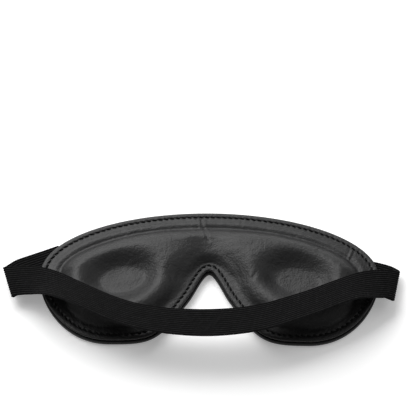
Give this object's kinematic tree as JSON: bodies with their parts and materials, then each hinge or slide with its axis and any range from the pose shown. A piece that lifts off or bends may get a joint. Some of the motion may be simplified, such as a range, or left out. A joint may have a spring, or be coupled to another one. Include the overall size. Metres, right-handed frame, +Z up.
{
  "type": "eye patch",
  "caption": "Padded leather eye mask with moulded eye hollows, a nose notch, a stitched edge and a woven elastic head strap that lies folded over its padded back.",
  "frame": {"origin": "on the surface the mask lies on, in the middle between the temples, level with the temple line and just below the nose notch's apex", "axes": "+X from the left temple to the right temple as seen from the padded back, +Y from the cheek lobes to the brow, +Z up through the padded back, away from the front panel"},
  "size_m": [0.2529, 0.106, 0.0288],
  "materials": {
    "front_leather": "soft satin, fine grain",
    "back_leather": "soft satin nappa",
    "wadding": "matte",
    "core_felt": "matte",
    "foam": "matte open-cell",
    "thread": "slightly waxed",
    "elastic": "ribbed weave"
  },
  "bodies": {
    "mask": {"front_panel": "front_leather", "front_wadding": "wadding", "core_sheet": "core_felt", "contour_pad": "foam", "back_panel": "back_leather", "needle_thread": "thread", "bobbin_thread": "thread", "strap_root_left": "elastic", "strap_root_right": "elastic"},
    "strap": {"strap_band": "elastic"}
  },
  "joints": [
    {"name": "strap_swing", "type": "hinge", "parent": "mask", "child": "strap", "pos_m": [0, 0.005, 0.005], "axis": [-1, 0, 0], "range_deg": [0, 90]}
  ]
}
